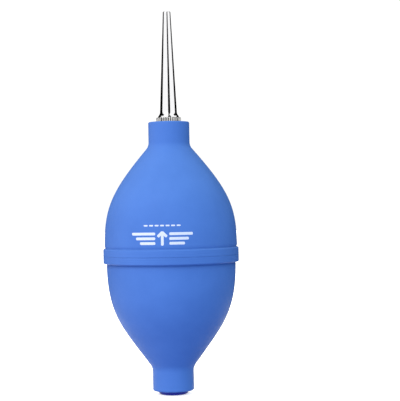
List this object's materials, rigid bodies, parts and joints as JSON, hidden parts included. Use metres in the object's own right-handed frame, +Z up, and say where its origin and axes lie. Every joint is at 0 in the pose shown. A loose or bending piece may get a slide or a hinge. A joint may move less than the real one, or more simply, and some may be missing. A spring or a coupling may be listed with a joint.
{
  "type": "air dust blower",
  "caption": "Hand-squeezed air blower: a rubber bulb with a raised belt and two necks, a tapered metal nozzle that unscrews, and an intake plug with a one-way valve.",
  "frame": {"origin": "centre of the intake plug's flat face, on which the blower stands", "axes": "+Z up the common axis to the tip of the nozzle; -Y is the front, where the thumb presses; +X to the right seen from the front"},
  "size_m": [0.0566, 0.0566, 0.16],
  "materials": {
    "blue_rubber": "matt moulded",
    "brass": "turned",
    "plated_steel": "nickel-plated, straight knurl",
    "chrome": "polished",
    "black_rubber": "satin",
    "navy_plastic": "glossy moulded",
    "white_plastic": "natural moulded",
    "clear_silicone": "natural silicone"
  },
  "bodies": {
    "root": {"upper_shell": "blue_rubber", "lower_shell": "blue_rubber", "neck_socket": "brass", "intake_plug": "navy_plastic", "valve_cage": "white_plastic"},
    "front_wall": {"upper_front_wall": "blue_rubber", "lower_front_wall": "blue_rubber"},
    "back_wall": {"upper_back_wall": "blue_rubber", "lower_back_wall": "blue_rubber"},
    "seal": {"nozzle_o_ring": "black_rubber"},
    "nozzle": {"nozzle_tube": "chrome", "nozzle_collar": "plated_steel"},
    "valve": {"valve_disc": "clear_silicone"}
  },
  "joints": [
    {"name": "front_squeeze", "type": "slide", "parent": "root", "child": "front_wall", "axis": [0, 1, 0], "range_m": [0, 0.01], "stiffness_N_per_m": 900},
    {"name": "back_squeeze", "type": "slide", "parent": "root", "child": "back_wall", "axis": [0, -1, 0], "range_m": [0, 0.01], "stiffness_N_per_m": 900},
    {"name": "nozzle_rise", "type": "slide", "parent": "root", "child": "seal", "axis": [0, 0, 1], "range_m": [0, 0.005]},
    {"name": "nozzle_unscrew", "type": "hinge", "parent": "seal", "child": "nozzle", "pos_m": [0, 0, 0.1156], "axis": [0, 0, 1], "range_deg": [0, 1800.1]},
    {"name": "valve_lift", "type": "slide", "parent": "root", "child": "valve", "axis": [0, 0, 1], "range_m": [0, 0.0012]}
  ],
  "couplings": [
    {"joint": "back_squeeze", "follows": "front_squeeze", "ratio": 1},
    {"joint": "nozzle_unscrew", "follows": "nozzle_rise", "rad_per_m": 6283.2}
  ]
}
